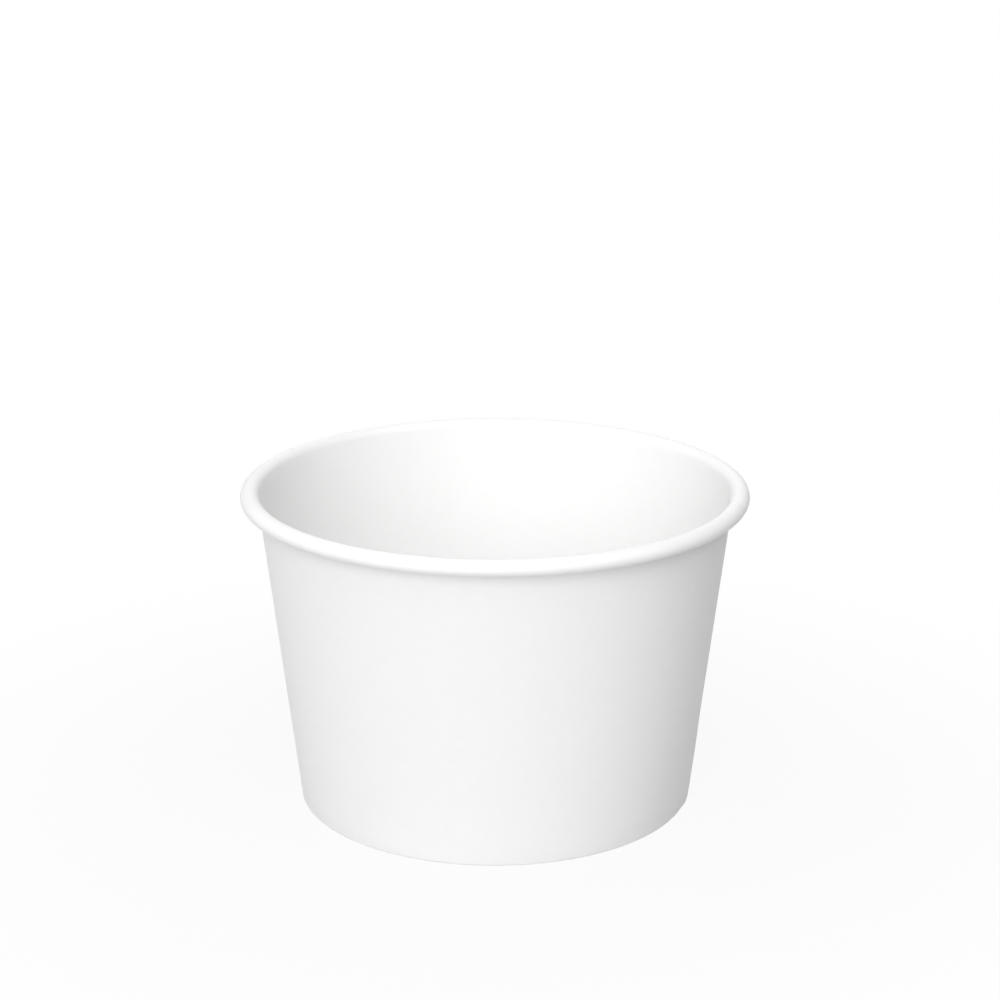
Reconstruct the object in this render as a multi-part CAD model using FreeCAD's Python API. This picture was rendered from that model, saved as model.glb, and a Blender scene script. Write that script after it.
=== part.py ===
"""Paper sundae cup: a side wall wrapped from one fan-shaped blank, and a bottom disc sealed into its foot.

Millimetres, +Z up. The origin is the centre of the foot, on the surface that the cup stands on.
The wall's two ends lap in one straight side seam. Its top edge is rolled outwards into the rim, and its
bottom edge is folded in and up round the bottom disc's skirt.
A section lies in the half plane of radius and height. The board's inner face is drawn as one path, from
the hem's cut edge, round the foot, up the wall and through the roll. The outer face is that path offset.
"""

import FreeCAD
import Part
import math
import os

# Overall sizes
RIM_DIAMETER = 95.0  # across the rolled rim
FOOT_DIAMETER = 74.2  # across the wall's outer face, where it would meet the table
CUP_HEIGHT = 61.0

# Board
WALL_BOARD = 0.35  # thickness of the side wall's board
DISC_BOARD = 0.30  # thickness of the bottom disc's board
SEAL_GAP = 0.02  # film of the heat seal between two boards

# Rolled rim
ROLL_HEIGHT = 3.0
ROLL_OVERHANG = 3.15  # from the wall's outer face to the rim's outermost line
ROLL_GAP = 0.03  # between the wall and the edge that is tucked into the roll
ROLL_JOIN_ANGLE = 45.0  # where the roll's side arcs meet its flatter top and bottom arcs
TUCK_SHARE = 0.65  # how much tighter the roll's last arc is than the one before it
TUCK_CORE = 0.10  # least radius left inside that last arc
TUCK_END_ANGLE = -250.0  # where the tucked edge ends, seen from the roll's centre

# Foot
DISC_RECESS = 6.5  # from the table to the disc's underside
HEM_STOP = 1.5  # from the hem's cut edge to the disc's underside
FOLD_RADIUS = 0.08  # inside the hem's two folds
SKIRT_LIFT = 0.05  # from the hem's fold to the skirt's cut edge
DISC_BEND_RADIUS = 0.5  # inside the bend between the disc's panel and its skirt

# Side seam
LAP_WIDTH = 6.0  # overlap of the wall's two ends, below the rim
LAP_STEP = 3.0  # width over which the outer end climbs onto the inner one
LAP_CRUSH = 0.10  # how far sealing presses the lap's two layers into each other
LAP_INSET = 0.125  # how far the lap bulges inwards, above the bottom disc, and not outwards
LAP_SHIFT_LIFT = 2.5  # from the disc's underside to where the layers start to move inwards
LAP_SHIFT_LENGTH = 10.0  # height over which they do
CLIMB_STEPS = 4  # sections between which the climb is drawn
SEAM_AZIMUTH = -14.5  # of the inner end's cut edge, from +X towards +Y, in degrees

AXIS = FreeCAD.Vector(0, 0, 1)
ORIGIN = FreeCAD.Vector(0, 0, 0)


def at(radius, height):
    """A point of a section."""
    return FreeCAD.Vector(radius, 0, height)


def polar(centre, radius, degrees):
    """The point of a section at an angle and a distance from a centre."""
    turn = math.radians(degrees)
    return at(centre.x + radius * math.cos(turn), centre.z + radius * math.sin(turn))


def line(start, end):
    return Part.LineSegment(start, end).toShape()


def arc(centre, radius, start_degrees, end_degrees):
    middle = (start_degrees + end_degrees) / 2
    ends = [polar(centre, radius, degrees) for degrees in (start_degrees, middle, end_degrees)]
    return Part.Arc(*ends).toShape()


# Cone of the wall
rim_radius = RIM_DIAMETER / 2
foot_radius = FOOT_DIAMETER / 2
roll_middle = CUP_HEIGHT - ROLL_HEIGHT / 2
taper = math.atan((rim_radius - ROLL_OVERHANG - foot_radius) / roll_middle)
taper_degrees = math.degrees(taper)


def cone_point(height, depth):
    """A point at a height on the wall's section, at a depth inwards from its outer face."""
    return at(foot_radius + height * math.tan(taper) - depth / math.cos(taper), height)


def depth_of(point):
    """How far a point lies inwards from the wall's outer face."""
    return (foot_radius + point.z * math.tan(taper) - point.x) * math.cos(taper)


class Path:
    """Lines and arcs of the board's inner face, each of which can be drawn at an offset towards the outer face."""

    def __init__(self):
        self.pieces = []

    def add_line(self, start, end):
        direction = (end - start).normalize()
        outwards = FreeCAD.Vector(direction.z, 0, -direction.x)
        self.pieces.append(lambda offset: line(start + outwards * offset, end + outwards * offset))

    def add_arc(self, centre, radius, start_degrees, end_degrees):
        growth = 1 if end_degrees > start_degrees else -1
        self.pieces.append(lambda offset: arc(centre, radius + growth * offset, start_degrees, end_degrees))

    def add_shift(self, start, end):
        """Two equal arcs, or two equal lines where there is no shift, that move the wall sideways."""
        upwards = at(math.sin(taper), math.cos(taper))
        inwards = at(-math.cos(taper), math.sin(taper))
        middle = (start + end) / 2
        turn = 2 * math.atan2((end - start).dot(inwards), (end - start).dot(upwards))
        turn_degrees = math.degrees(turn)
        if turn_degrees < 0.001:
            self.add_line(start, middle)
            self.add_line(middle, end)
            return
        radius = (end - start).dot(upwards) / (2 * math.sin(turn))
        leave = -taper_degrees
        arrive = 180 - taper_degrees
        self.add_arc(start + inwards * radius, radius, leave, leave + turn_degrees)
        self.add_arc(end - inwards * radius, radius, arrive + turn_degrees, arrive)

    def section(self, near, far):
        """The face between two offsets of the path."""
        near_side = [piece(near) for piece in self.pieces]
        far_side = [piece(far) for piece in self.pieces]
        start_cap = line(far_side[0].Vertexes[0].Point, near_side[0].Vertexes[0].Point)
        end_cap = line(near_side[-1].Vertexes[-1].Point, far_side[-1].Vertexes[-1].Point)
        edges = [start_cap] + near_side + [end_cap] + far_side[::-1]
        return Part.Face(Part.Wire(Part.sortEdges(edges)[0]))


def roll_arcs(share):
    """Centre, radius and end angles of the rolled rim's arcs: in the single wall at 0, in the lap at 1.

    The roll is an oval of four centres, tangent to the wall's inner face and to the rim's outermost line.
    From its lowest point on, the board turns up inside the roll, beside the wall."""
    join = math.radians(ROLL_JOIN_ANGLE)
    inner_radius = cone_point(roll_middle, WALL_BOARD + share * LAP_INSET).x
    half_width = (rim_radius - inner_radius) / 2
    half_height = ROLL_HEIGHT / 2
    lean = (1 / math.cos(taper) - 1) / 2

    # The side and crown radii solve: half width and half height, each a sum of shares of the two radii.
    side_in_width = 1 - math.cos(join) + lean
    crown_in_width = math.cos(join)
    side_in_height = math.sin(join)
    crown_in_height = 1 - math.sin(join)
    scale = side_in_width * crown_in_height - crown_in_width * side_in_height
    side = (half_width * crown_in_height - half_height * crown_in_width) / scale
    crown = (half_height * side_in_width - half_width * side_in_height) / scale

    inner_centre = at(inner_radius + side / math.cos(taper), roll_middle)
    outer_centre = at(rim_radius - side, roll_middle)
    crown_radius_position = (inner_centre.x + outer_centre.x) / 2
    top_centre = at(crown_radius_position, CUP_HEIGHT - crown)
    bottom_centre = at(crown_radius_position, CUP_HEIGHT - ROLL_HEIGHT + crown)

    # The tuck turns off the bottom arc where it then just clears the wall's outermost layer.
    wall_face = share * (WALL_BOARD - LAP_CRUSH - LAP_INSET) + ROLL_GAP
    tightest = (1 + share) * WALL_BOARD + TUCK_CORE
    down = math.sin(taper)
    room = (crown * down - wall_face - depth_of(bottom_centre)) / (1 + down)
    tuck = max(room, tightest)
    reach = (wall_face + depth_of(bottom_centre) + tuck) / (crown - tuck)
    tuck_start = -math.degrees(math.acos(reach)) - taper_degrees
    tuck_centre = polar(bottom_centre, crown - tuck, tuck_start)
    core = max(tuck * TUCK_SHARE, tightest)
    core_centre = at(tuck_centre.x - (tuck - core), tuck_centre.z)

    join_degrees = ROLL_JOIN_ANGLE
    return [
        (inner_centre, side, 180 - taper_degrees, 180 - join_degrees),
        (top_centre, crown, 180 - join_degrees, join_degrees),
        (outer_centre, side, join_degrees, -join_degrees),
        (bottom_centre, crown, -join_degrees, tuck_start),
        (tuck_centre, tuck, tuck_start, -180),
        (core_centre, core, -180, TUCK_END_ANGLE),
    ]


def wall_path(share):
    """The wall's inner face, from the hem's cut edge to the edge tucked into the roll.

    The share is 0 in the single wall, 1 in the lap, and in between where one layer leaves the other."""
    pocket = DISC_BOARD + 2 * SEAL_GAP
    hem_top = DISC_RECESS - HEM_STOP
    floor = WALL_BOARD
    fold_height = floor + FOLD_RADIUS
    hem_fold = cone_point(fold_height, WALL_BOARD + pocket - FOLD_RADIUS)
    wall_fold = cone_point(fold_height, WALL_BOARD + FOLD_RADIUS)
    shift_start = DISC_RECESS + LAP_SHIFT_LIFT
    shift_end = shift_start + LAP_SHIFT_LENGTH
    roll = roll_arcs(share)
    path = Path()

    hem_edge = cone_point(hem_top, WALL_BOARD + pocket)
    path.add_line(hem_edge, polar(hem_fold, FOLD_RADIUS, 180 - taper_degrees))
    path.add_arc(hem_fold, FOLD_RADIUS, 180 - taper_degrees, 270)
    path.add_line(at(hem_fold.x, floor), at(wall_fold.x, floor))
    path.add_arc(wall_fold, FOLD_RADIUS, 270, 360 - taper_degrees)
    lower_end = cone_point(shift_start, WALL_BOARD)
    upper_start = cone_point(shift_end, WALL_BOARD + share * LAP_INSET)
    path.add_line(polar(wall_fold, FOLD_RADIUS, 360 - taper_degrees), lower_end)
    path.add_shift(lower_end, upper_start)
    path.add_line(upper_start, polar(roll[0][0], roll[0][1], 180 - taper_degrees))
    for centre, radius, start_degrees, end_degrees in roll:
        path.add_arc(centre, radius, start_degrees, end_degrees)
    return path


def turned(shape, degrees):
    """A copy of the shape, turned about the cup's axis."""
    copy = shape.copy()
    copy.rotate(ORIGIN, AXIS, degrees)
    return copy


def climb(start_degrees, end_degrees, rise):
    """One layer between the single wall, at the first angle, and the lap, at the second.

    In the lap it lies that far out from the inner layer. It leaves and arrives without a crease."""
    wires = []
    for step in range(CLIMB_STEPS + 1):
        way = step / CLIMB_STEPS
        share = way * way * (3 - 2 * way)
        section = wall_path(share).section(share * rise, share * rise + WALL_BOARD)
        wires.append(turned(section, start_degrees + way * (end_degrees - start_degrees)).OuterWire)
    return Part.makeLoft(wires, True, True)


def side_wall():
    """One board: a single layer most of the way round, and two layers over the lap of the side seam.

    Before the inner end's cut edge, the outer layer steps out from the single one. Past the lap, the inner
    layer eases back into it. The outer end's cut edge is parallel to the inner one's, a lap's width away."""
    least_radius = cone_point(0, DISC_BOARD + 2 * SEAL_GAP + 3 * WALL_BOARD).x
    lap_angle = math.degrees(math.asin(LAP_WIDTH / least_radius))
    step_angle = math.degrees(math.asin(LAP_STEP / least_radius))

    single = wall_path(0).section(0, WALL_BOARD)
    lap_rise = WALL_BOARD - LAP_CRUSH
    lap_inner = wall_path(1).section(0, WALL_BOARD)
    lap_outer = wall_path(1).section(lap_rise, lap_rise + WALL_BOARD)

    ring_start = lap_angle + step_angle
    ring = turned(single, ring_start).revolve(ORIGIN, AXIS, 360 - step_angle - ring_start)
    inner_layer = lap_inner.revolve(ORIGIN, AXIS, lap_angle)
    outer_layer = lap_outer.revolve(ORIGIN, AXIS, lap_angle)
    strip_corner = FreeCAD.Vector(0, -LAP_WIDTH, -CUP_HEIGHT)
    lap_strip = Part.makeBox(RIM_DIAMETER, 2 * LAP_WIDTH, 3 * CUP_HEIGHT, strip_corner)

    layers = [climb(ring_start, lap_angle, 0), climb(-step_angle, 0, lap_rise)]
    layers += [inner_layer, outer_layer.common(lap_strip)]
    wall = turned(ring.fuse(layers), SEAM_AZIMUTH)
    above_table = Part.makeCylinder(RIM_DIAMETER, 2 * CUP_HEIGHT)
    return wall.common(above_table)


def bottom_disc():
    """A flat panel with its edge bent down into a skirt, which the wall's hem closes in."""
    panel_top = DISC_RECESS + DISC_BOARD
    outer_bend = DISC_BEND_RADIUS + DISC_BOARD
    skirt_depth = WALL_BOARD + SEAL_GAP
    skirt_end = WALL_BOARD + FOLD_RADIUS + SKIRT_LIFT
    bend_centre = cone_point(DISC_RECESS - DISC_BEND_RADIUS, skirt_depth + outer_bend)
    skirt_side = -taper_degrees

    outer_face = [
        line(at(0, panel_top), at(bend_centre.x, panel_top)),
        arc(bend_centre, outer_bend, 90, skirt_side),
        line(polar(bend_centre, outer_bend, skirt_side), cone_point(skirt_end, skirt_depth)),
    ]
    cut_edge = line(cone_point(skirt_end, skirt_depth), cone_point(skirt_end, skirt_depth + DISC_BOARD))
    inner_face = [
        line(cone_point(skirt_end, skirt_depth + DISC_BOARD), polar(bend_centre, DISC_BEND_RADIUS, skirt_side)),
        arc(bend_centre, DISC_BEND_RADIUS, skirt_side, 90),
        line(at(bend_centre.x, DISC_RECESS), at(0, DISC_RECESS)),
    ]
    middle = line(at(0, DISC_RECESS), at(0, panel_top))
    outline = Part.Wire(outer_face + [cut_edge] + inner_face + [middle])
    return Part.Face(outline).revolve(ORIGIN, AXIS, 360)


def one_solid(shape):
    """The shape as its single solid."""
    return shape.Solids[0] if len(shape.Solids) == 1 else shape


os.makedirs("parts", exist_ok=True)
for node, shape in (("side_wall", side_wall()), ("bottom_disc", bottom_disc())):
    piece = one_solid(shape)
    piece.exportStep(f"parts/{node}.step")
    box = piece.optimalBoundingBox(False)
    print(f"{node}: {len(piece.Solids)} solid, valid {piece.isValid()}, {piece.Volume:.1f} mm3,"
          f" {box.XLength:.2f} x {box.YLength:.2f} x {box.ZLength:.2f} mm, from z {box.ZMin:.3f}")
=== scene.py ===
"""The paper sundae cup, dressed: its wall and its bottom disc as fine board, on a plain pale floor."""

import math

import bpy
from mathutils import Matrix, Vector


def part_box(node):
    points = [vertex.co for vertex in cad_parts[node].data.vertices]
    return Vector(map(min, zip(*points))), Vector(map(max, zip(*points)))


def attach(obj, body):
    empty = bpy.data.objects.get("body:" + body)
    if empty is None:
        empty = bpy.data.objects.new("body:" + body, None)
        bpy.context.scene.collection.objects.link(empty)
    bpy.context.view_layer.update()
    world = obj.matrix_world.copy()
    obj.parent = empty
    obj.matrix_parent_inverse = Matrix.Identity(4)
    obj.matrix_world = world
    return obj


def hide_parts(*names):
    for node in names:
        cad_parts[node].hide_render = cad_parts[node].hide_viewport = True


bl_info = {
    "name": "Paper sundae cup",
    "version": (1, 0, 0),
    "blender": (4, 5, 0),
    "location": "View3D > Sidebar > Cup",
    "description": "Models a paperboard cup with a rolled rim, a lapped seam and a hemmed foot",
    "category": "Add Mesh",
}

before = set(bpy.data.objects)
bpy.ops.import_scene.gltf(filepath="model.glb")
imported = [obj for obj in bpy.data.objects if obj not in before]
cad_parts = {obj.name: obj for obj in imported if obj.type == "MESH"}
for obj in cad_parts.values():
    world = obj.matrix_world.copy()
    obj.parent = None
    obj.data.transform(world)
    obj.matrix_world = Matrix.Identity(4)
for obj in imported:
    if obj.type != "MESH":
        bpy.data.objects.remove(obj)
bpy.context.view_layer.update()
wall_low, wall_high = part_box("side_wall")
disc_low, disc_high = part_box("bottom_disc")

UP = (0, 0, 1)
ACROSS = (0, -1, 0)  # turns a section's radius towards its height
CLIMB_STEPS = 6  # columns of faces over which one layer of the lap leaves the other
LAP_STEPS = 8  # columns of faces over which they lie together
SAME_PLACE = 1e-6  # metres within which two points are one
SAME_ANGLE = 1e-5  # radians within which two directions are one
SMOOTH_ANGLE = math.radians(40)
HEM_MARGIN, HEM_BAND = 0.12, 0.70  # shares of the hem's face above the sealing wheel's marks and across them
NOISE_RANGE = (0.3, 0.7)  # between which a noise mostly stays
LAMP_PLACES = {  # azimuth and height of each lamp, in degrees
    "key": (257, 25), "low": (180, 20), "left": (180, 45), "right": (310, 55), "top": (0, 88), "back": (80, 25),
}


class CupSizes(bpy.types.PropertyGroup):
    """Sizes of the board and of the cup made from it."""

    rim_diameter: bpy.props.FloatProperty(
        name="Rim diameter", description="Across the rolled rim",
        default=wall_high.x - wall_low.x, unit="LENGTH", precision=5)
    foot_diameter: bpy.props.FloatProperty(
        name="Foot diameter", description="Across the wall's outer face, where it would meet the table",
        default=0.0742, unit="LENGTH", precision=5)
    height: bpy.props.FloatProperty(
        name="Height", description="From the table to the top of the rim",
        default=wall_high.z, unit="LENGTH", precision=5)
    wall_board: bpy.props.FloatProperty(
        name="Wall board", description="Thickness of the side wall's board",
        default=0.00035, unit="LENGTH", precision=5)
    disc_board: bpy.props.FloatProperty(
        name="Disc board", description="Thickness of the bottom disc's board",
        default=0.0003, unit="LENGTH", precision=5)
    seal_gap: bpy.props.FloatProperty(
        name="Seal gap", description="Film of the heat seal between two boards",
        default=0.00002, unit="LENGTH", precision=6)
    roll_height: bpy.props.FloatProperty(
        name="Roll height", description="Height of the rolled rim",
        default=0.003, unit="LENGTH", precision=5)
    roll_overhang: bpy.props.FloatProperty(
        name="Roll overhang", description="From the wall's outer face to the rim's outermost line",
        default=0.00315, unit="LENGTH", precision=5)
    roll_gap: bpy.props.FloatProperty(
        name="Roll gap", description="Between the wall and the edge tucked into the roll",
        default=0.00003, unit="LENGTH", precision=6)
    roll_join: bpy.props.FloatProperty(
        name="Roll join angle", description="Where the roll's side arcs meet its top and bottom arcs",
        default=math.radians(45), unit="ROTATION")
    tuck_share: bpy.props.FloatProperty(
        name="Tuck share", description="How much tighter the roll's last arc is than the one before it",
        default=0.65)
    tuck_core: bpy.props.FloatProperty(
        name="Tuck core", description="Least radius left inside the roll's last arc",
        default=0.0001, unit="LENGTH", precision=5)
    tuck_end: bpy.props.FloatProperty(
        name="Tuck end angle", description="Where the tucked edge ends, seen from the roll's centre",
        default=math.radians(-250), unit="ROTATION")
    hem_stop: bpy.props.FloatProperty(
        name="Hem stop", description="From the hem's cut edge to the disc's underside",
        default=0.0015, unit="LENGTH", precision=5)
    fold_radius: bpy.props.FloatProperty(
        name="Fold radius", description="Inside the hem's two folds",
        default=0.00008, unit="LENGTH", precision=6)
    disc_bend: bpy.props.FloatProperty(
        name="Disc bend radius", description="Inside the bend between the disc's panel and its skirt",
        default=0.0005, unit="LENGTH", precision=5)
    lap_width: bpy.props.FloatProperty(
        name="Lap width", description="Overlap of the wall's two ends",
        default=0.006, unit="LENGTH", precision=5)
    lap_step: bpy.props.FloatProperty(
        name="Lap step", description="Width over which the outer end climbs onto the inner one",
        default=0.003, unit="LENGTH", precision=5)
    lap_crush: bpy.props.FloatProperty(
        name="Lap crush", description="How far sealing presses the lap's two layers into each other",
        default=0.0001, unit="LENGTH", precision=5)
    lap_inset: bpy.props.FloatProperty(
        name="Lap inset", description="How far the lap bulges inwards, above the bottom disc, and not outwards",
        default=0.000125, unit="LENGTH", precision=6)
    rim_press: bpy.props.FloatProperty(
        name="Rim press", description="Share of the lap's step that the curling die leaves in the rim",
        default=0.2)
    foot_press: bpy.props.FloatProperty(
        name="Foot press", description="Height above the table below which the lap is pressed level",
        default=0.001, unit="LENGTH", precision=5)
    shift_lift: bpy.props.FloatProperty(
        name="Shift lift", description="From the disc's underside to where the layers start to move inwards",
        default=0.0025, unit="LENGTH", precision=5)
    shift_length: bpy.props.FloatProperty(
        name="Shift length", description="Height over which they do", default=0.01, unit="LENGTH", precision=5)
    seam_azimuth: bpy.props.FloatProperty(
        name="Seam azimuth", description="Of the inner end's cut edge, from +X towards +Y",
        default=math.radians(-14.5), unit="ROTATION")
    knurl_depth: bpy.props.FloatProperty(
        name="Knurl depth", description="How deep the sealing wheel's marks are pressed into the hem",
        default=0.00007, unit="LENGTH", precision=6)
    knurl_border: bpy.props.FloatProperty(
        name="Knurl border", description="Width of the slope round each of those marks",
        default=0.00018, unit="LENGTH", precision=6)
    columns: bpy.props.IntProperty(
        name="Columns", description="Columns of faces round the cup, two for each mark in the hem", default=288)


class CupColours(bpy.types.PropertyGroup):
    """Colours of the board's faces."""

    outside: bpy.props.FloatVectorProperty(
        name="Outside", description="White coat on the outside of the wall",
        subtype="COLOR", default=(0.94, 0.94, 0.937))
    inside: bpy.props.FloatVectorProperty(
        name="Inside", description="Film on the inside of the cup",
        subtype="COLOR", default=(0.942, 0.942, 0.939))
    underside: bpy.props.FloatVectorProperty(
        name="Underside", description="Bare board under the bottom disc",
        subtype="COLOR", default=(0.82, 0.815, 0.80))
    cut_edge: bpy.props.FloatVectorProperty(
        name="Cut edge", description="Bare fibres at the board's cut edges",
        subtype="COLOR", default=(0.80, 0.79, 0.765))


class StageSettings(bpy.types.PropertyGroup):
    """The camera, the floor and the studio light."""

    camera_place: bpy.props.FloatVectorProperty(
        name="Camera place", description="In the cup's frame", subtype="TRANSLATION",
        default=(0.0, -0.4716, 0.2022))
    camera_dip: bpy.props.FloatProperty(
        name="Camera dip", description="How far the camera looks below the horizon",
        default=math.radians(17.038), unit="ROTATION")
    camera_pan: bpy.props.FloatProperty(
        name="Camera pan", description="How far the camera looks to the right of the cup's axis",
        default=0.00198, unit="ROTATION")
    camera_roll: bpy.props.FloatProperty(
        name="Camera roll", description="Turn about the line of sight", default=0.00102, unit="ROTATION")
    lens: bpy.props.FloatProperty(
        name="Lens", description="Focal length for a sensor 36 mm wide", default=94.79, unit="CAMERA")
    floor_size: bpy.props.FloatProperty(
        name="Floor size", description="Side of the square floor", default=6.0, unit="LENGTH")
    floor_shade: bpy.props.FloatProperty(
        name="Floor shade", description="How pale the floor is to the light that falls on it", default=0.6)
    floor_whiteness: bpy.props.FloatProperty(
        name="Floor whiteness", description="Share of plain white in the floor as it is seen beside the cup",
        default=0.92)
    shadow_start: bpy.props.FloatProperty(
        name="Shadow start", description="From the cup's axis to where the floor starts to turn plain white",
        default=0.04, unit="LENGTH")
    shadow_end: bpy.props.FloatProperty(
        name="Shadow end", description="From the cup's axis to where the floor is plain white",
        default=0.16, unit="LENGTH")
    ambient: bpy.props.FloatProperty(
        name="Ambient", description="Strength of the even white light from all round", default=0.05)
    key_power: bpy.props.FloatProperty(
        name="Key power", description="Power of the lamp by the camera", default=11.8, unit="POWER")
    low_power: bpy.props.FloatProperty(
        name="Low power", description="Power of the low lamp at the cup's left", default=1.0, unit="POWER")
    left_power: bpy.props.FloatProperty(
        name="Left power", description="Power of the high lamp at the cup's left", default=4.2, unit="POWER")
    right_power: bpy.props.FloatProperty(
        name="Right power", description="Power of the high lamp at the cup's right", default=5.7, unit="POWER")
    top_power: bpy.props.FloatProperty(
        name="Top power", description="Power of the lamp over the cup", default=2.9, unit="POWER")
    back_power: bpy.props.FloatProperty(
        name="Back power", description="Power of the lamp behind the cup", default=2.0, unit="POWER")
    lamp_size: bpy.props.FloatProperty(
        name="Lamp size", description="Across each round lamp", default=1.1, unit="LENGTH")
    lamp_distance: bpy.props.FloatProperty(
        name="Lamp distance", description="From the cup to each lamp", default=1.3, unit="LENGTH")


# Drawing the board's section

class Pen:
    """Draws a line in the plane of radius and height, by extruding and spinning one vertex of a new mesh."""

    def __init__(self, name, radius, height):
        bpy.ops.object.select_all(action="DESELECT")
        bpy.ops.mesh.primitive_plane_add(size=0.001, location=(radius, 0, height))
        self.piece = bpy.context.object
        self.piece.name = name
        bpy.ops.object.transform_apply(location=True)
        edit(self.piece, "SELECT")
        bpy.ops.mesh.merge(type="CENTER")
        self.here = Vector((radius, 0, height))

    def line_to(self, point, steps=1):
        move = (point - self.here) / steps
        for _ in range(steps):
            bpy.ops.mesh.extrude_region_move(TRANSFORM_OT_translate={"value": move})
        self.here = point

    def arc(self, centre, radius, start, end, steps):
        spin(end - start, steps, centre, ACROSS)
        self.here = around(centre, radius, end)

    def shift_to(self, point, taper, steps):
        """Moves sideways to a line parallel to the wall by two equal arcs, or straight up if it is in line."""
        upwards = at(math.sin(taper), math.cos(taper))
        inwards = at(-math.cos(taper), math.sin(taper))
        way = point - self.here
        turn = 2 * math.atan2(way.dot(inwards), way.dot(upwards))
        if turn < SAME_ANGLE:
            self.line_to(point, 2 * steps)
            return
        radius = way.dot(upwards) / (2 * math.sin(turn))
        self.arc(self.here + inwards * radius, radius, -taper, turn - taper, steps)
        self.arc(point - inwards * radius, radius, math.pi - taper + turn, math.pi - taper, steps)

    def lift(self):
        bpy.ops.object.mode_set(mode="OBJECT")
        return self.piece


def spin(angle, steps, centre, axis):
    """Spins what is selected; the operator turns the other way round, so the angle is reversed for it."""
    bpy.ops.mesh.spin(steps=steps, angle=-angle, center=centre, axis=axis)


def at(radius, height):
    return Vector((radius, 0, height))


def around(centre, radius, angle):
    return at(centre.x + radius * math.cos(angle), centre.z + radius * math.sin(angle))


class Cone:
    """The wall's slope, worked out from the cup's sizes."""

    def __init__(self, sizes):
        self.foot = sizes.foot_diameter / 2
        roll_middle = sizes.height - sizes.roll_height / 2
        neck = sizes.rim_diameter / 2 - sizes.roll_overhang
        self.taper = math.atan((neck - self.foot) / roll_middle)

    def point(self, height, depth):
        """A point at a height, at a depth inwards from the wall's outer face."""
        return at(self.foot + height * math.tan(self.taper) - depth / math.cos(self.taper), height)

    def depth(self, point):
        return (self.foot + point.z * math.tan(self.taper) - point.x) * math.cos(self.taper)


def lap_rise(sizes):
    """From one layer of the lap to the same face of the next."""
    return sizes.wall_board - sizes.lap_crush


def roll_arcs(sizes, cone, share):
    """Centre, radius, end angles and steps of the rim's arcs: in the single wall at 0, in the lap at 1."""
    join = sizes.roll_join
    rim = sizes.rim_diameter / 2
    middle = sizes.height - sizes.roll_height / 2
    inner = cone.point(middle, sizes.wall_board + share * sizes.lap_inset).x
    half_width = (rim - inner) / 2
    half_height = sizes.roll_height / 2
    lean = (1 / math.cos(cone.taper) - 1) / 2

    side_in_width = 1 - math.cos(join) + lean
    crown_in_width = math.cos(join)
    side_in_height = math.sin(join)
    crown_in_height = 1 - math.sin(join)
    scale = side_in_width * crown_in_height - crown_in_width * side_in_height
    side = (half_width * crown_in_height - half_height * crown_in_width) / scale
    crown = (half_height * side_in_width - half_width * side_in_height) / scale

    inner_centre = at(inner + side / math.cos(cone.taper), middle)
    outer_centre = at(rim - side, middle)
    crown_radius = (inner_centre.x + outer_centre.x) / 2
    top_centre = at(crown_radius, sizes.height - crown)
    bottom_centre = at(crown_radius, sizes.height - sizes.roll_height + crown)

    wall_face = share * (lap_rise(sizes) - sizes.lap_inset) + sizes.roll_gap
    tightest = (1 + share) * sizes.wall_board + sizes.tuck_core
    down = math.sin(cone.taper)
    room = (crown * down - wall_face - cone.depth(bottom_centre)) / (1 + down)
    tuck = max(room, tightest)
    reach = (wall_face + cone.depth(bottom_centre) + tuck) / (crown - tuck)
    tuck_start = -math.acos(reach) - cone.taper
    tuck_centre = around(bottom_centre, crown - tuck, tuck_start)
    core = max(tuck * sizes.tuck_share, tightest)
    core_centre = at(tuck_centre.x - (tuck - core), tuck_centre.z)
    return [
        (inner_centre, side, math.pi - cone.taper, math.pi - join, 6),
        (top_centre, crown, math.pi - join, join, 14),
        (outer_centre, side, join, -join, 14),
        (bottom_centre, crown, -join, tuck_start, 7),
        (tuck_centre, tuck, tuck_start, -math.pi, 8),
        (core_centre, core, -math.pi, sizes.tuck_end, 6),
    ]


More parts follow.
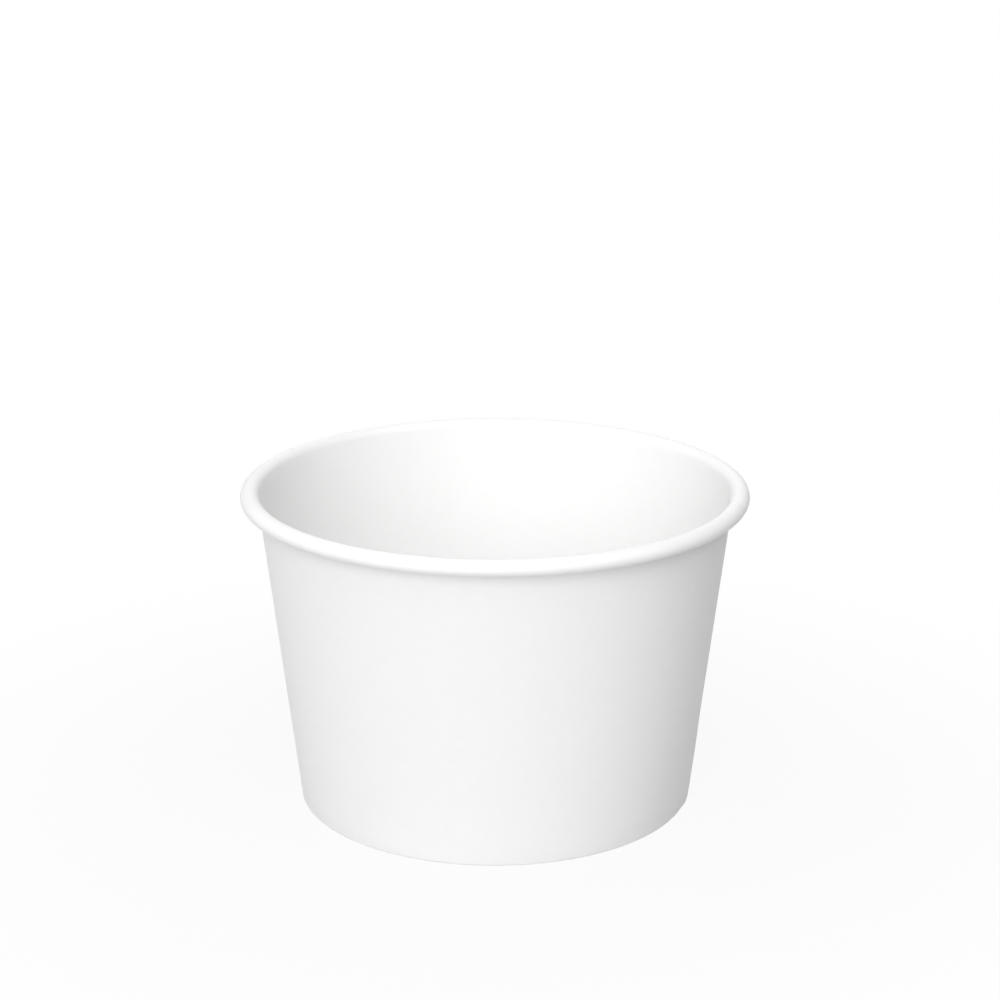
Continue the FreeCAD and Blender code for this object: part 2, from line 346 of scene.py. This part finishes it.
def draw_wall_section(sizes, share, depth):
    """A layer's inner face, from the hem to the tuck, at a depth outwards from the cup's inner face.

    The share is 0 in the single wall, 1 in the lap, and in between where one layer leaves the other."""
    cone = Cone(sizes)
    board = sizes.wall_board
    fold = sizes.fold_radius
    pocket = board + sizes.disc_board + 2 * sizes.seal_gap
    hem_top = disc_high.z - sizes.disc_board - sizes.hem_stop
    fold_height = board + fold
    hem_fold = cone.point(fold_height, pocket - fold)
    wall_fold = cone.point(fold_height, board + fold)
    fold_reach = fold + depth
    quarter = math.pi / 2
    arcs = roll_arcs(sizes, cone, share)
    shift_start = disc_high.z - sizes.disc_board + sizes.shift_lift
    shift_end = cone.point(shift_start + sizes.shift_length, board + share * sizes.lap_inset)
    outwards = at(math.cos(cone.taper), -math.sin(cone.taper)) * depth

    hem_start = cone.point(hem_top, pocket) - outwards
    pen = Pen("board_face", hem_start.x, hem_start.z)
    hem_bottom = around(hem_fold, fold_reach, math.pi - cone.taper)
    slope = hem_bottom - hem_start
    pen.line_to(pen.here + slope * HEM_MARGIN)
    pen.line_to(pen.here + slope * HEM_BAND)
    pen.line_to(hem_bottom)
    pen.arc(hem_fold, fold_reach, math.pi - cone.taper, 3 * quarter, 6)
    pen.line_to(around(wall_fold, fold_reach, 3 * quarter))
    pen.arc(wall_fold, fold_reach, 3 * quarter, 4 * quarter - cone.taper, 6)
    pen.line_to(cone.point(shift_start, board) + outwards, 3)
    pen.shift_to(shift_end + outwards, cone.taper, 3)
    roll_centre, roll_radius, roll_start = arcs[0][:3]
    pen.line_to(around(roll_centre, roll_radius - depth, roll_start), 10)
    roll_depth = depth * sizes.rim_press
    press_start = (roll_start + arcs[0][3]) / 2
    pen.arc(roll_centre, roll_radius - depth, roll_start, press_start, 3)
    if depth:
        pen.line_to(around(roll_centre, roll_radius - roll_depth, arcs[0][3]), 3)
    else:
        pen.arc(roll_centre, roll_radius, press_start, arcs[0][3], 3)
    for centre, radius, start, end, steps in arcs[1:]:
        pen.arc(centre, radius - roll_depth, start, end, steps)
    return pen.lift()


# Turning sections into sheets and sheets into board

def only(piece):
    """Selects one object and makes it the active one."""
    bpy.ops.object.select_all(action="DESELECT")
    piece.select_set(True)
    bpy.context.view_layer.objects.active = piece


def edit(piece, select="DESELECT"):
    only(piece)
    bpy.ops.object.mode_set(mode="EDIT")
    bpy.ops.mesh.select_mode(type="VERT")
    bpy.ops.mesh.select_all(action=select)


def done():
    bpy.ops.object.mode_set(mode="OBJECT")


def turn(piece, angle):
    only(piece)
    piece.rotation_euler.z = angle
    bpy.ops.object.transform_apply(rotation=True)


def sweep(section, start, angle, steps):
    """Turns a section to its start and spins it about the cup's axis."""
    turn(section, start)
    edit(section, "SELECT")
    spin(angle, steps, (0, 0, 0), UP)
    done()
    return section


def azimuth(point):
    return math.atan2(point.y, point.x)


def pick(piece, keep):
    """Selects the vertices whose place passes the test."""
    edit(piece)
    done()
    for vertex in piece.data.vertices:
        vertex.select = keep(vertex.co)


def bridge(first, first_azimuth, second, second_azimuth):
    """Joins two sheets by faces between the sections at those azimuths."""
    pick(first, lambda point: abs(azimuth(point) - first_azimuth) < SAME_ANGLE)
    pick(second, lambda point: abs(azimuth(point) - second_azimuth) < SAME_ANGLE)
    only(first)
    second.select_set(True)
    bpy.ops.object.join()
    bpy.ops.object.mode_set(mode="EDIT")
    bpy.ops.mesh.bridge_edge_loops(interpolation="LINEAR")
    done()


def climb_shares():
    """How far along each of the climb's sections stands, and its share of the lap's shape."""
    ways = [step / CLIMB_STEPS for step in range(CLIMB_STEPS + 1)]
    return [(way, way * way * (3 - 2 * way)) for way in ways]


def thicken(piece, board, finishes):
    """Gives a sheet its board's thickness outwards, with the finishes named for the new face, the sheet's own
    face and the cut edge."""
    piece.data.materials.clear()
    for finish in finishes:
        piece.data.materials.append(finish_of(finish))
    only(piece)
    solid = piece.modifiers.new("board", "SOLIDIFY")
    solid.thickness = board
    solid.offset = 1
    solid.use_even_offset = True
    solid.use_quality_normals = True
    solid.material_offset = 1
    solid.material_offset_rim = 2
    bpy.ops.object.modifier_apply(modifier="board")
    edit(piece, "SELECT")
    bpy.ops.mesh.normals_make_consistent(inside=False)
    done()


def smooth(piece):
    only(piece)
    bpy.ops.object.shade_smooth_by_angle(angle=SMOOTH_ANGLE)


# Board finishes

def socket(group, name, kind, direction, default=None):
    made = group.interface.new_socket(name=name, in_out=direction, socket_type=kind)
    if default is not None:
        made.default_value = default


def board_grain():
    """Node group: cloudy formation, fine fibres and a slight unevenness of gloss, from a place on the board."""
    group = bpy.data.node_groups.new("board_grain", "ShaderNodeTree")
    socket(group, "Place", "NodeSocketVector", "INPUT")
    socket(group, "Colour", "NodeSocketColor", "INPUT")
    socket(group, "Cloud size", "NodeSocketFloat", "INPUT", 0.002)
    socket(group, "Fibre size", "NodeSocketFloat", "INPUT", 0.0004)
    socket(group, "Cloudiness", "NodeSocketFloat", "INPUT", 0.02)
    socket(group, "Gloss low", "NodeSocketFloat", "INPUT", 0.4)
    socket(group, "Gloss high", "NodeSocketFloat", "INPUT", 0.5)
    socket(group, "Colour", "NodeSocketColor", "OUTPUT")
    socket(group, "Roughness", "NodeSocketFloat", "OUTPUT")
    socket(group, "Height", "NodeSocketFloat", "OUTPUT")
    nodes, link = group.nodes, group.links.new
    inputs = nodes.new("NodeGroupInput")
    outputs = nodes.new("NodeGroupOutput")

    def noise(size_name, detail):
        scale = nodes.new("ShaderNodeMath")
        scale.operation = "DIVIDE"
        scale.inputs[0].default_value = 1
        link(inputs.outputs[size_name], scale.inputs[1])
        texture = nodes.new("ShaderNodeTexNoise")
        texture.inputs["Detail"].default_value = detail
        link(inputs.outputs["Place"], texture.inputs["Vector"])
        link(scale.outputs[0], texture.inputs["Scale"])
        return texture.outputs["Fac"]

    clouds = noise("Cloud size", 4)
    fibres = noise("Fibre size", 5)
    darkening = nodes.new("ShaderNodeMath")
    darkening.operation = "MULTIPLY"
    link(clouds, darkening.inputs[0])
    link(inputs.outputs["Cloudiness"], darkening.inputs[1])
    shade = nodes.new("ShaderNodeMix")
    shade.data_type = "RGBA"
    shade.inputs["B"].default_value = (0.0, 0.0, 0.0, 1)
    link(darkening.outputs[0], shade.inputs["Factor"])
    link(inputs.outputs["Colour"], shade.inputs["A"])
    gloss = nodes.new("ShaderNodeMapRange")
    gloss.inputs["From Min"].default_value, gloss.inputs["From Max"].default_value = NOISE_RANGE
    link(fibres, gloss.inputs["Value"])
    link(inputs.outputs["Gloss low"], gloss.inputs["To Min"])
    link(inputs.outputs["Gloss high"], gloss.inputs["To Max"])
    relief = nodes.new("ShaderNodeMath")
    relief.operation = "MULTIPLY_ADD"
    relief.inputs[1].default_value = 0.5
    link(clouds, relief.inputs[0])
    link(fibres, relief.inputs[2])
    link(shade.outputs["Result"], outputs.inputs["Colour"])
    link(gloss.outputs["Result"], outputs.inputs["Roughness"])
    link(relief.outputs[0], outputs.inputs["Height"])
    return group


def board_finish(name, colour, cloudiness, gloss, relief, fibre=0.0004):
    """A board face: its colour, how cloudy it is, its range of roughness and the depth of its fibres."""
    finish = bpy.data.materials.new(name)
    finish.use_nodes = True
    nodes, link = finish.node_tree.nodes, finish.node_tree.links.new
    shader = nodes["Principled BSDF"]
    shader.inputs["IOR"].default_value = 1.5
    grain = nodes.new("ShaderNodeGroup")
    grain.node_tree = bpy.data.node_groups.get("board_grain") or board_grain()
    grain.inputs["Colour"].default_value = (*colour, 1)
    grain.inputs["Cloudiness"].default_value = cloudiness
    grain.inputs["Fibre size"].default_value = fibre
    grain.inputs["Gloss low"].default_value, grain.inputs["Gloss high"].default_value = gloss
    place = nodes.new("ShaderNodeTexCoord")
    bump = nodes.new("ShaderNodeBump")
    bump.inputs["Distance"].default_value = relief
    bump.inputs["Strength"].default_value = 1
    link(place.outputs["Object"], grain.inputs["Place"])
    link(grain.outputs["Colour"], shader.inputs["Base Color"])
    link(grain.outputs["Roughness"], shader.inputs["Roughness"])
    link(grain.outputs["Height"], bump.inputs["Height"])
    link(bump.outputs["Normal"], shader.inputs["Normal"])
    return finish


def finish_of(name):
    """The named finish, made when it is first asked for."""
    colours = bpy.context.scene.cup_colours
    recipes = {
        "outside_coat": (colours.outside, 0.03, (0.42, 0.55), 0.000004),
        "inside_film": (colours.inside, 0.02, (0.40, 0.50), 0.000005, 0.0006),
        "bare_underside": (colours.underside, 0.06, (0.75, 0.9), 0.000010),
        "cut_edge": (colours.cut_edge, 0.2, (0.85, 0.95), 0.000020, 0.00015),
    }
    return bpy.data.materials.get(name) or board_finish(name, *recipes[name])


# The cup's two pieces

class CUP_OT_side_wall(bpy.types.Operator):
    """Wraps the side wall, with its lapped seam, rolled rim and hem"""

    bl_idname = "cup.side_wall"
    bl_label = "Side wall"

    def execute(self, context):
        sizes = context.scene.cup_sizes
        if sizes.lap_width <= sizes.lap_step:
            raise RuntimeError("the lap is no wider than the step onto it")
        least_radius = sizes.foot_diameter / 2 - 3 * sizes.wall_board - sizes.disc_board
        lap = math.asin(sizes.lap_width / least_radius)
        step = math.asin(sizes.lap_step / least_radius)
        ring = 2 * math.pi - lap - 2 * step

        wall = sweep(draw_wall_section(sizes, 0, 0), lap + step, ring, sizes.columns)
        inner_end = sweep(draw_wall_section(sizes, 1, 0), 0, lap, LAP_STEPS)
        outer_end = sweep(draw_wall_section(sizes, 1, lap_rise(sizes)), 0, lap, LAP_STEPS)
        edit(outer_end, "SELECT")
        bpy.ops.mesh.bisect(plane_co=(0, sizes.lap_width, 0), plane_no=(0, 1, 0), clear_outer=True)
        done()

        inner_edge, outer_edge = lap + step, -step
        for way, share in climb_shares()[1:-1]:
            inner_next, outer_next = lap + step * (1 - way), -step * (1 - way)
            inner_section = draw_wall_section(sizes, share, 0)
            turn(inner_section, inner_next)
            bridge(wall, inner_edge, inner_section, inner_next)
            outer_section = draw_wall_section(sizes, share, share * lap_rise(sizes))
            turn(outer_section, outer_next)
            bridge(wall, outer_edge, outer_section, outer_next)
            inner_edge, outer_edge = inner_next, outer_next
        bridge(wall, inner_edge, inner_end, lap)
        bridge(wall, outer_edge, outer_end, 0)
        wall.name = wall.data.name = "cup_wall"
        face_outwards(wall, sizes)
        thicken(wall, sizes.wall_board, ("outside_coat", "inside_film", "cut_edge"))
        press_lap(wall, sizes, lap, step)
        knurl_hem(wall, sizes)
        turn(wall, sizes.seam_azimuth)
        smooth(wall)
        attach(wall, "root")
        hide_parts("side_wall")
        return {"FINISHED"}


def face_outwards(wall, sizes):
    """Points the sheet's faces away from the cup's inside, which is where its thickness goes."""
    middle = sizes.height / 2
    test = min(wall.data.polygons, key=lambda face: abs(face.center.z - middle))
    if test.normal.dot(Vector((test.center.x, test.center.y, 0))) < 0:
        edit(wall, "SELECT")
        bpy.ops.mesh.flip_normals()
        done()


def press_lap(wall, sizes, lap, step):
    """Presses the lap's two layers flat at the foot, so that the cup stands level."""
    press = sizes.foot_press
    half = 0.5 * step / CLIMB_STEPS
    for way, share in climb_shares()[1:]:
        before, after = -step * (1 - way), lap + step * (1 - way)
        if way == 1:
            pick(wall, lambda point: point.z < press and before - half < azimuth(point) < after + half)
        else:
            pick(wall, lambda point: point.z < press and (
                abs(azimuth(point) - before) < half or abs(azimuth(point) - after) < half))
        bpy.ops.object.mode_set(mode="EDIT")
        squeeze = press / (press + share * lap_rise(sizes))
        bpy.ops.transform.resize(value=(1, 1, squeeze), center_override=(0, 0, press))
        done()


def knurl_hem(wall, sizes):
    """Presses a row of upright marks into the hem's open face, as the sealing wheel leaves them."""
    edit(wall)
    bpy.ops.mesh.select_mode(type="FACE")
    done()
    hem_top = disc_high.z - sizes.disc_board - sizes.hem_stop
    column = 2 * math.pi / sizes.columns
    for face in wall.data.polygons:
        inwards = face.normal.dot(Vector((face.center.x, face.center.y, 0))) < 0
        on_band = abs(face.center.z / hem_top - 0.5) < 0.2 and face.material_index == 0
        face.select = on_band and inwards and int(azimuth(face.center) / column + sizes.columns) % 2 == 0
    bpy.ops.object.mode_set(mode="EDIT")
    bpy.ops.mesh.inset(thickness=sizes.knurl_border, depth=-sizes.knurl_depth, use_individual=True)
    done()


class CUP_OT_bottom_disc(bpy.types.Operator):
    """Forms the bottom disc, with its edge bent down into a skirt"""

    bl_idname = "cup.bottom_disc"
    bl_label = "Bottom disc"

    def execute(self, context):
        sizes = context.scene.cup_sizes
        cone = Cone(sizes)
        board = sizes.disc_board
        if disc_high.z <= disc_low.z + board + sizes.disc_bend:
            raise RuntimeError("the disc's recess leaves no room for its skirt")
        bend = sizes.disc_bend + board
        skirt_depth = sizes.wall_board + sizes.seal_gap
        bend_centre = cone.point(disc_high.z - bend, skirt_depth + bend)
        pen = Pen("disc_face", 0, disc_high.z)
        pen.line_to(at(bend_centre.x, disc_high.z), 12)
        pen.arc(bend_centre, bend, math.pi / 2, -cone.taper, 8)
        pen.line_to(cone.point(disc_low.z, skirt_depth), 4)
        disc = sweep(pen.lift(), 0, 2 * math.pi, sizes.columns)
        disc.name = disc.data.name = "cup_bottom"
        edit(disc, "SELECT")
        bpy.ops.mesh.remove_doubles(threshold=SAME_PLACE)
        bpy.ops.mesh.normals_make_consistent(inside=False)
        done()
        if min(disc.data.polygons, key=lambda face: face.center.xy.length).normal.z > 0:
            edit(disc, "SELECT")
            bpy.ops.mesh.flip_normals()
            done()
        thicken(disc, board, ("bare_underside", "inside_film", "cut_edge"))
        smooth(disc)
        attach(disc, "root")
        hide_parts("bottom_disc")
        return {"FINISHED"}


# The stage

def seen_rays(nodes, link):
    """One for camera, glossy and transmission rays, and nought for the light that falls on things."""
    path = nodes.new("ShaderNodeLightPath")
    camera_or_glossy = nodes.new("ShaderNodeMath")
    camera_or_glossy.operation = "MAXIMUM"
    link(path.outputs["Is Camera Ray"], camera_or_glossy.inputs[0])
    link(path.outputs["Is Glossy Ray"], camera_or_glossy.inputs[1])
    seen = nodes.new("ShaderNodeMath")
    seen.operation = "MAXIMUM"
    link(camera_or_glossy.outputs[0], seen.inputs[0])
    link(path.outputs["Is Transmission Ray"], seen.inputs[1])
    return seen.outputs[0]


def light_world(stage):
    """White where it is seen, and a plain even light on everything else."""
    world = bpy.data.worlds.new("studio")
    bpy.context.scene.world = world
    world.use_nodes = True
    nodes, link = world.node_tree.nodes, world.node_tree.links.new
    background = nodes["Background"]
    background.inputs["Color"].default_value = (1, 1, 1, 1)
    strength = nodes.new("ShaderNodeMix")
    strength.inputs["A"].default_value = stage.ambient
    strength.inputs["B"].default_value = 1
    link(seen_rays(nodes, link), strength.inputs["Factor"])
    link(strength.outputs["Result"], background.inputs["Strength"])


def add_lamp(stage, name, place, power):
    """A round soft lamp that faces the cup from an azimuth and a height, in degrees."""
    turned, lift = math.radians(place[0]), math.radians(place[1])
    level = math.cos(lift)
    towards = Vector((math.cos(turned) * level, math.sin(turned) * level, math.sin(lift)))
    middle = Vector((0, 0, wall_high.z / 2))
    bpy.ops.object.light_add(type="AREA", location=middle + towards * stage.lamp_distance)
    lamp = bpy.context.object
    lamp.name = name
    lamp.data.shape = "DISK"
    lamp.data.size = stage.lamp_size
    lamp.data.energy = power
    lamp.rotation_euler = (-towards).to_track_quat("-Z", "Y").to_euler()


def floor_finish(stage):
    """Pale floor that is seen as plain white, and takes the cup's shadow near the cup."""
    finish = bpy.data.materials.new("pale_floor")
    finish.use_nodes = True
    nodes, link = finish.node_tree.nodes, finish.node_tree.links.new
    surface = nodes["Principled BSDF"]
    shade = stage.floor_shade
    surface.inputs["Base Color"].default_value = (shade, shade, shade, 1)
    surface.inputs["Roughness"].default_value = 1
    surface.inputs["Specular IOR Level"].default_value = 0
    glow = nodes.new("ShaderNodeEmission")
    glow.inputs["Strength"].default_value = 1
    place = nodes.new("ShaderNodeTexCoord")
    reach = nodes.new("ShaderNodeVectorMath")
    reach.operation = "LENGTH"
    link(place.outputs["Object"], reach.inputs[0])
    whiteness = nodes.new("ShaderNodeMapRange")
    whiteness.interpolation_type = "SMOOTHSTEP"
    whiteness.inputs["From Min"].default_value = stage.shadow_start
    whiteness.inputs["From Max"].default_value = stage.shadow_end
    whiteness.inputs["To Min"].default_value = stage.floor_whiteness
    link(reach.outputs["Value"], whiteness.inputs["Value"])
    share = nodes.new("ShaderNodeMath")
    share.operation = "MULTIPLY"
    link(seen_rays(nodes, link), share.inputs[0])
    link(whiteness.outputs["Result"], share.inputs[1])
    mix = nodes.new("ShaderNodeMixShader")
    link(share.outputs[0], mix.inputs["Fac"])
    link(surface.outputs["BSDF"], mix.inputs[1])
    link(glow.outputs["Emission"], mix.inputs[2])
    link(mix.outputs["Shader"], nodes["Material Output"].inputs["Surface"])
    return finish


class CUP_OT_stage(bpy.types.Operator):
    """Sets the camera, the pale floor and the soft studio light"""

    bl_idname = "cup.stage"
    bl_label = "Stage"

    def execute(self, context):
        stage = context.scene.cup_stage
        scene = context.scene
        bpy.ops.object.camera_add()
        camera = bpy.context.object
        camera.name = "photo_camera"
        camera.data.lens = stage.lens
        camera.data.sensor_width = 36
        camera.data.clip_start = 0.01
        turned = Matrix.Rotation(-stage.camera_pan, 4, "Z")
        dipped = Matrix.Rotation(math.pi / 2 - stage.camera_dip, 4, "X")
        rolled = Matrix.Rotation(stage.camera_roll, 4, "Z")
        camera.matrix_world = Matrix.Translation(stage.camera_place) @ turned @ dipped @ rolled
        scene.camera = camera

        bpy.ops.mesh.primitive_plane_add(size=stage.floor_size)
        floor = bpy.context.object
        floor.name = "floor"
        floor.data.materials.append(floor_finish(stage))
        light_world(stage)
        for name, place in LAMP_PLACES.items():
            add_lamp(stage, f"{name}_lamp", place, getattr(stage, f"{name}_power"))
        scene.view_settings.view_transform = "Standard"
        return {"FINISHED"}


class CUP_PT_panel(bpy.types.Panel):
    """Lists the cup's pieces and its stage"""

    bl_idname = "CUP_PT_panel"
    bl_label = "Paper sundae cup"
    bl_space_type = "VIEW_3D"
    bl_region_type = "UI"
    bl_category = "Cup"

    def draw(self, context):
        for operator in (CUP_OT_stage, CUP_OT_side_wall, CUP_OT_bottom_disc):
            self.layout.operator(operator.bl_idname)
        for settings in (context.scene.cup_sizes, context.scene.cup_colours, context.scene.cup_stage):
            box = self.layout.box()
            for name in settings.bl_rna.properties.keys():
                if name not in ("rna_type", "name"):
                    box.prop(settings, name)


CLASSES = (
    CupSizes, CupColours, StageSettings, CUP_OT_side_wall, CUP_OT_bottom_disc, CUP_OT_stage, CUP_PT_panel,
)


def register():
    for made in CLASSES:
        bpy.utils.register_class(made)
    bpy.types.Scene.cup_sizes = bpy.props.PointerProperty(type=CupSizes)
    bpy.types.Scene.cup_colours = bpy.props.PointerProperty(type=CupColours)
    bpy.types.Scene.cup_stage = bpy.props.PointerProperty(type=StageSettings)


def unregister():
    for name in ("cup_sizes", "cup_colours", "cup_stage"):
        delattr(bpy.types.Scene, name)
    for made in reversed(CLASSES):
        bpy.utils.unregister_class(made)


def main():
    register()
    bpy.ops.cup.stage()
    bpy.ops.cup.side_wall()
    bpy.ops.cup.bottom_disc()


if __name__ == "__main__":
    main()
